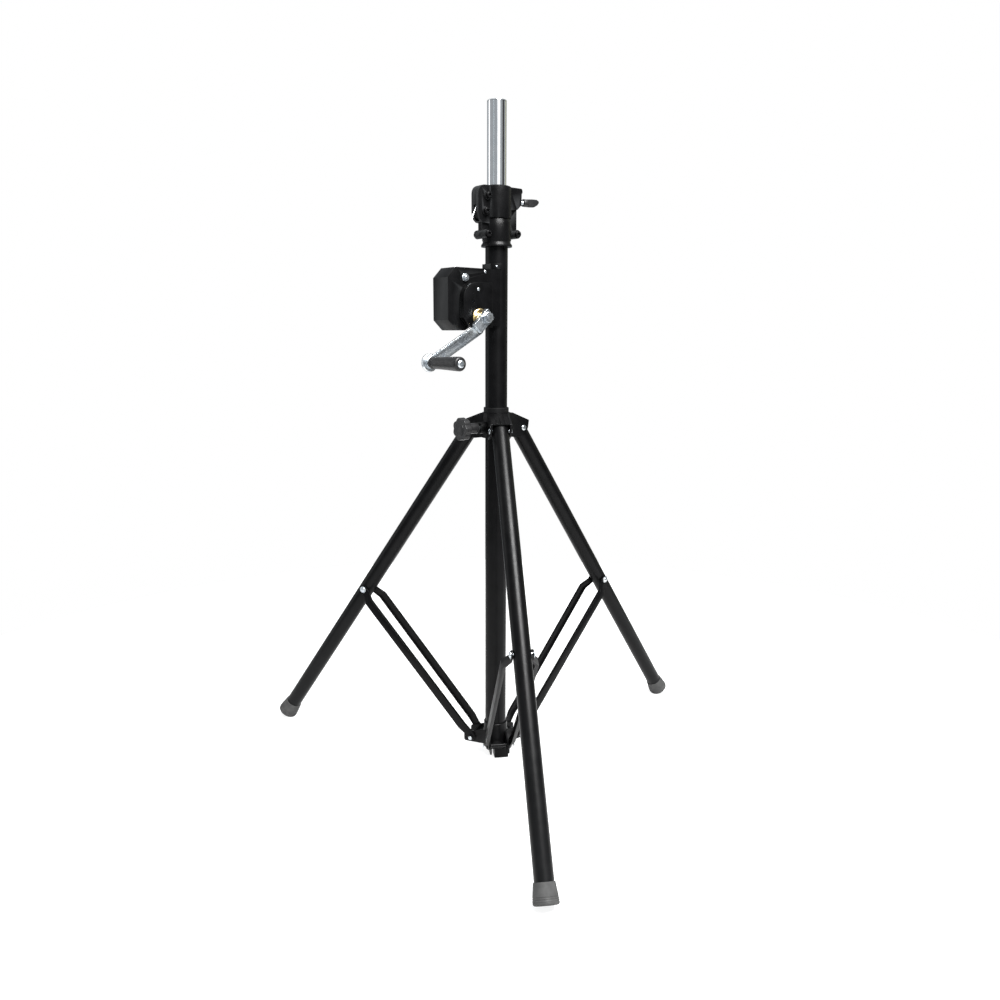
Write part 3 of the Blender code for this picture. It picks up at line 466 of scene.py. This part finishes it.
def make_leg_pieces(k):
    leg = leg_frame(k)
    body = f"leg_{k}"
    low, high = span(f"leg_tube_{k}", leg)
    r, end = high.x, low.z
    dome = [(r * math.cos(a), r * math.sin(a)) for a in (math.radians(d) for d in range(90, -1, -9))]
    turned(f"leg_shell_{k}", dome + [(r, end), (r - 1.6, end), (r - 1.6, end + 3)], leg,
           "black_paint", body, [f"leg_tube_{k}"], 64, closed=False)
    low, high = span(f"foot_cap_{k}", leg)
    r, end, top = high.x, low.z, high.z
    lip = 18.7
    profile = [(17.2, top), (lip - 0.3, top), (lip, top - 0.5), (lip + 0.1, top - 2.2)]
    for ring in range(3):
        z = end + 12.5 - 3.4 * ring
        side = lip + 0.4 + (r - 0.3 - lip) * (top - z) / (top - end - 5)
        profile += [(side, z + 0.9), (side - 0.5, z + 0.5), (side - 0.5, z - 0.5), (side, z - 0.9)]
    profile += [(r - 0.05, end + 4.4), (r - 0.35, end + 2.2), (r - 1.7, end + 0.7), (r - 4.1, end),
                (9, end), (8, end + 0.8), (0, end + 0.8)]
    turned(f"foot_rubber_{k}", profile, leg, "rubber", body, [f"foot_cap_{k}"], 72, closed=False)
    make_brace_bolt(k)
    make_hub_pins(k)


def dome_nut(reach, radius, height):
    """Half a section of a domed nut beyond its seat at reach."""
    return [(radius * math.cos(a), reach + height * math.sin(a))
            for a in (math.radians(d) for d in range(0, 91, 15))]


def make_brace_bolt(k):
    side = LEG_SIDES[k]
    place = local(side, f"brace_fold_{k}")
    matrix = across_at(side, place.x, place.z)
    low, high = span(f"brace_bolt_{k}", matrix)
    seat = high.z - 3.4
    half = [(7, seat), (7, seat + 0.9), (5.8, seat + 0.9)] + dome_nut(seat + 0.9, 5.7, 2.4)
    profile = half[::-1] + [(4, seat), (4, -seat)] + [(r, -h) for r, h in half]
    turned(f"brace_bolt_set_{k}", profile, matrix, "zinc", f"leg_{k}", [f"brace_bolt_{k}"], 40, closed=False)


def make_hub_pins(k):
    """The blackened pin between two ears of the hub, and the bright rivet head on each brace's foot."""
    side = LEG_SIDES[k]
    low, high = span(f"hub_pin_{k}", side)
    matrix = across_at(side, (low.x + high.x) / 2 * MM, (low.z + high.z) / 2 * MM)
    r, end = (high.z - low.z) / 2, high.y
    turned(f"hub_pin_set_{k}",
           [(0, end), (r - 0.5, end), (r, end - 0.5), (r, 0.5 - end), (r - 0.5, -end), (0, -end)], matrix,
           "cast_black", "mast", [f"hub_pin_{k}"], 32, closed=False)
    reach = span(f"brace_{k}_left", side)[1].y
    for label, sign in (("left", 1), ("right", -1)):
        head = [(r, sign * h) for r, h in dome_nut(reach - 1.6, 4.2, 1.6)]
        turned(f"hub_rivet_{k}_{label}", head + [(0, sign * (reach - 1.6))], matrix, "zinc",
               f"braces_{k}", steps=32, closed=False)


# ---------------------------------------------------------------- collar


def make_collar_pieces():
    for k in LEGS:
        side = LEG_SIDES[k]
        place = local(side, f"leg_fold_{k}")
        matrix = across_at(side, place.x, place.z)
        _, high = span(f"leg_pin_{k}", matrix)
        seat = high.z - 2.4
        half = [(6, seat), (6, seat + 0.8)] + dome_nut(seat + 0.8, 5.4, 1.6)
        turned(f"leg_rivet_{k}", half[::-1] + [(4, seat), (4, -seat)] + [(r, -h) for r, h in half], matrix,
               "zinc", "collar", [f"leg_pin_{k}"], 40, closed=False)
        make_roof_ribs(k)
    make_knob()


def make_roof_ribs(k):
    """Three ribs that run down the sloping roof of a bracket."""
    side = LEG_SIDES[k]
    ring_r, lip_x = 29.0, 68.5
    ring_z, lip_z = 754.2, 739.3
    for number, y in enumerate((-9, 0, 9), 1):
        outline = [(ring_r, -ring_z + 0.6), (ring_r, -ring_z - 0.9), (lip_x, -lip_z - 1.0),
                   (lip_x, -lip_z + 0.6)]
        extruded(f"roof_rib_{k}_{number}", outline, y - 1.1, y + 1.1, across_at(side, 0, 0), "cast_black",
                 "collar", edge=0.4)


def make_knob():
    """The scalloped knob with a waist and a raised centre on its face."""
    axis = Vector(JOINTS["knob_turn"]["axis"]).normalized()
    z = JOINTS["knob_turn"]["pos_m"][2] / MM
    matrix = Matrix.Translation((0, 0, z * MM)) @ axis.to_track_quat("Z", "Y").to_matrix().to_4x4()
    low, high = span("collar_knob", matrix)
    r = high.x - 0.1
    lobes, steps = 7, 12
    outline = []
    for i in range(lobes * steps):
        angle = math.tau * i / (lobes * steps)
        radius = r - 3 + 3 * ((1 + math.cos(lobes * angle)) / 2) ** 0.6
        outline.append((radius * math.cos(angle), radius * math.sin(angle)))
    body = extruded("knob_grip", outline, high.z - 15.8, high.z - 1.2, matrix, "black_plastic", "knob",
                    ["collar_knob"], edge=1.6)
    body.modifiers["edges"].angle_limit = math.radians(60)
    turned("knob_cap",
           [(0, high.z), (12, high.z), (13.2, high.z - 0.5), (13.5, high.z - 1.6), (0, high.z - 1.6)],
           matrix, "black_plastic", "knob", steps=64, closed=False)
    waist = high.z - 15.4
    turned("knob_waist", [(0, waist), (13, waist), (11, waist - 4), (10.6, waist - 14), (11, waist - 27),
                          (10, waist - 29), (0, waist - 29)], matrix, "black_plastic", "knob", closed=False)
    turned("knob_screw",
           [(0, waist - 28), (5, waist - 28), (5, low.z + 0.8), (4, low.z + 0.1), (0, low.z + 0.1)],
           matrix, "zinc", "knob", steps=32, closed=False)


# ---------------------------------------------------------------- head


def socket_screw(name, node, slot, body, replaced=True):
    """A cap screw across the winch side, with a hexagon socket in its front head and a washer at its back."""
    x, y, z = ((a + b) / 2 for a, b in zip(*span(node, WINCH)))
    matrix = across_at(WINCH, x * MM, z * MM)
    low, high = span(node, matrix)
    front, back = high.z, low.z
    shank = 4 if node != "head_bolt_top" else 3
    seat, seat_back = front - 4.6, back + 4
    screw = turned(name,
                   [(0, front), (5.2, front), (6.1, front - 0.5), (6.4, front - 1.3), (6.4, seat),
                    (shank, seat), (shank, seat_back), (6, seat_back), (6, back + 0.4), (5.6, back),
                    (0, back)], matrix, slot, body, [node], 48, closed=False)
    cutter = extruded(f"{name}_socket", hexagon(3.3), front - 3, front + 1, matrix, slot, body, edge=0)
    carve(screw, cutter)
    return screw


def carve(obj, cutter):
    """Cuts obj and takes the cutter out of the scene."""
    cut(obj, cutter)
    bpy.context.view_layer.update()
    graph = bpy.context.evaluated_depsgraph_get()
    mesh = bpy.data.meshes.new_from_object(obj.evaluated_get(graph))
    obj.modifiers.clear()
    obj.data = mesh
    mesh.shade_smooth()
    mesh.set_sharp_from_angle(angle=math.radians(38))
    bpy.data.objects.remove(cutter)


def make_head_pieces():
    for name in ("head_bolt_top", "pulley_axle", "clamp_bolt_winch_side", "clamp_bolt_lock_side"):
        socket_screw(f"{name}_screw", name, "cast_black", "mast")
    x, _, z = local(WINCH, "pulley_spin") / MM
    matrix = across_at(WINCH, x * MM, z * MM)
    _, high = span("pulley", matrix)
    r, half = high.x, high.z
    groove = [(r - 1.6 - 0.7 * math.sin(a), 1.9 * math.cos(a))
              for a in (math.radians(d) for d in range(0, 181, 20))]
    turned("pulley_wheel", [(4.3, half), (8, half), (8.6, half - 1), (r - 3.4, half - 1), (r - 2.6, half),
                            (r - 0.4, half), (r, half - 0.5)] + groove +
           [(r, 0.5 - half), (r - 0.4, -half), (r - 2.6, -half), (r - 3.4, 1 - half), (8.6, 1 - half),
            (8, -half), (4.3, -half)], matrix, "nylon", "pulley", ["pulley"], 72)
    make_lock()


def make_lock():
    """The paddle of the top lock, thin in plan and swept up a little, on its screw."""
    z = JOINTS["lock_turn"]["pos_m"][2] / MM
    flat = across_at(WINCH, 0, z * MM)
    low, high = span("lock_handle", flat)
    outline = [(-68.3, 5), (-68.3, -4.6), (-76, -7.4), (-90, -8.8), (-102, -9.1), (-108.4, -6.4),
               (-108, -2.4), (-104, 2), (-96, 6.2), (-86, 7.0), (-78, 7.1)]
    paddle = extruded("lock_paddle", outline, -4.2, 4.2, flat, "black_plastic", "lock", ["lock_handle"],
                      edge=2.2)
    paddle.modifiers["edges"].segments = 5
    matrix = outward_at(WINCH, z * MM)
    turned("lock_boss", [(0, -67.4), (6.8, -67.4), (7.4, -68.2), (7.4, -76), (5, -79), (0, -79)], matrix,
           "black_plastic", "lock", steps=40, closed=False)
    profile = [(0, -19.8), (3.4, -19.8), (4, -20.6)]
    for turn in range(9):
        profile += [(4, -54 - 1.3 * turn), (3.5, -54.6 - 1.3 * turn)]
    profile += [(4, -66.6), (0, -66.8)]
    turned("lock_thread", profile, matrix, "zinc", "lock", ["lock_screw"], 32, closed=False)


# ---------------------------------------------------------------- winch and crank


def cross_outline(reach, half):
    """A plus sign round the origin: reach is half its span, half is half the width of its bars."""
    return [(reach, -half), (reach, half), (half, half), (half, reach), (-half, reach), (-half, half),
            (-reach, half), (-reach, -half), (-half, -half), (-half, -reach), (half, -reach),
            (half, -half)]


def pan_screw(name, x, z, seat, radius, slot, body="mast", cross=True):
    """A small pan-head screw on the front face of the winch side."""
    matrix = across_at(WINCH, x * MM, z * MM)
    top = [(radius * math.cos(a), seat + 0.55 * radius * math.sin(a))
           for a in (math.radians(d) for d in range(90, -1, -15))]
    screw = turned(name, top + [(radius * 0.55, seat), (radius * 0.55, seat - 1.2), (0, seat - 1.2)],
                   matrix, slot, body, steps=32, closed=False)
    if cross:
        outline = cross_outline(radius * 0.6, radius * 0.12)
        cutter = extruded(f"{name}_cross", outline, seat + 0.1 * radius, seat + radius, matrix, slot,
                          body, edge=0)
        carve(screw, cutter)
    return screw


def make_winch_pieces():
    cover_face = span("gear_cover", WINCH)[1].y
    sheet_face = span("winch_cover", WINCH)[1].y
    pan_screw("gear_cover_screw", 75.5, 998.6, cover_face - 0.05, 3.4, "zinc")
    pan_screw("cover_screw", 48, 1033.5, sheet_face - 0.05, 3.0, "zinc")
    make_hex_bolt(sheet_face)
    for number, angle in enumerate((51, -51), 1):
        strap = outward_at(WINCH @ Matrix.Rotation(math.radians(angle), 4, "Z"), 1045.5 * MM)
        turned(f"strap_rivet_{number}", [(0, 26.4), (1.2, 26.1), (2.1, 25.4), (2.3, 24.9), (0, 24.9)],
               strap, "zinc", "mast", steps=24, closed=False)
    x, _, z = local(WINCH, "crank_spin") / MM
    bush = across_at(WINCH, x * MM, z * MM)
    low, high = span("shaft_bush", bush)
    r, top, flange = high.x, high.z, high.z - 3.1
    turned("bush_ring",
           [(6.3, low.z), (15, low.z), (15, flange), (r - 0.3, flange), (r, flange + 0.4), (r, top - 1.2),
            (r - 0.9, top - 0.3), (r - 2, top), (12.4, top), (12, top - 0.6), (10.4, top - 0.6),
            (10, top), (6.3, top)], bush, "brass", "mast", ["shaft_bush"], 72)


def make_hex_bolt(face):
    """The hexagon bolt on the cover, on a plain washer."""
    x, _, z = ((a + b) / 2 for a, b in zip(*span("winch_bolt", WINCH)))
    matrix = across_at(WINCH, x * MM, z * MM)
    low, high = span("winch_bolt", matrix)
    seat = face + 0.25
    turned("bolt_washer", [(4, seat), (7.4, seat), (7.4, seat + 1.2), (7, seat + 1.5), (4, seat + 1.5)],
           matrix, "zinc", "mast", ["winch_bolt"], 48)
    extruded("bolt_head", hexagon(6.9, 0.3), seat + 1.5, seat + 4.9, matrix, "zinc", "mast", edge=0.5)
    turned("bolt_end", [(0, high.z), (3.2, high.z), (4, high.z - 0.7), (4, low.z), (0, low.z)], matrix,
           "zinc", "mast", steps=32, closed=False)


def make_crank_pieces():
    x, _, z = local(WINCH, "grip_spin") / MM
    matrix = across_at(WINCH, x * MM, z * MM)
    low, high = span("crank_grip", matrix)
    start, end = low.z, high.z
    profile = [(4.3, start), (9.4, start), (10.6, start + 0.5), (11.0, start + 1.8)]
    for ring in range(3):
        profile += [(11.05, start + 4 + 2.4 * ring), (10.6, start + 4.6 + 2.4 * ring),
                    (10.6, start + 5.2 + 2.4 * ring)]
    profile += [(11.1, start + 12), (11.2, start + 27), (11.6, start + 42), (12.15, start + 57),
                (12.7, start + 70), (12.95, start + 79), (12.95, end - 3.4), (12.5, end - 1.6),
                (11.6, end - 0.6), (10, end), (4.3, end)]
    turned("grip_sleeve", profile, matrix, "black_plastic", "grip", ["crank_grip"], 72)
    low, high = span("grip_pin", matrix)
    back, front = low.z, high.z
    pin = turned("grip_spindle", [
        (0, front), (4.5, front - 0.2), (6.6, front - 1.1), (7.3, front - 2.2), (7.3, front - 2.6),
        (4, front - 2.6), (4, back + 6.8), (15.4, back + 6.8), (16.9, back + 5.4), (17.1, back + 3.2),
        (16.8, back + 1.1), (14, back + 0.2), (12.6, back + 0.8), (9, back + 1), (8, back), (0, back)],
                 matrix, "zinc", "crank", ["grip_pin"], 72, closed=False)
    outline = cross_outline(4.2, 0.85)
    carve(pin, extruded("spindle_cross", outline, front - 2.2, front + 1, matrix, "zinc", "crank", edge=0))


make_camera()
make_studio()
dress_nodes()
make_mast_pieces()
for leg_number in LEGS:
    make_leg_pieces(leg_number)
make_collar_pieces()
make_head_pieces()
make_winch_pieces()
make_crank_pieces()
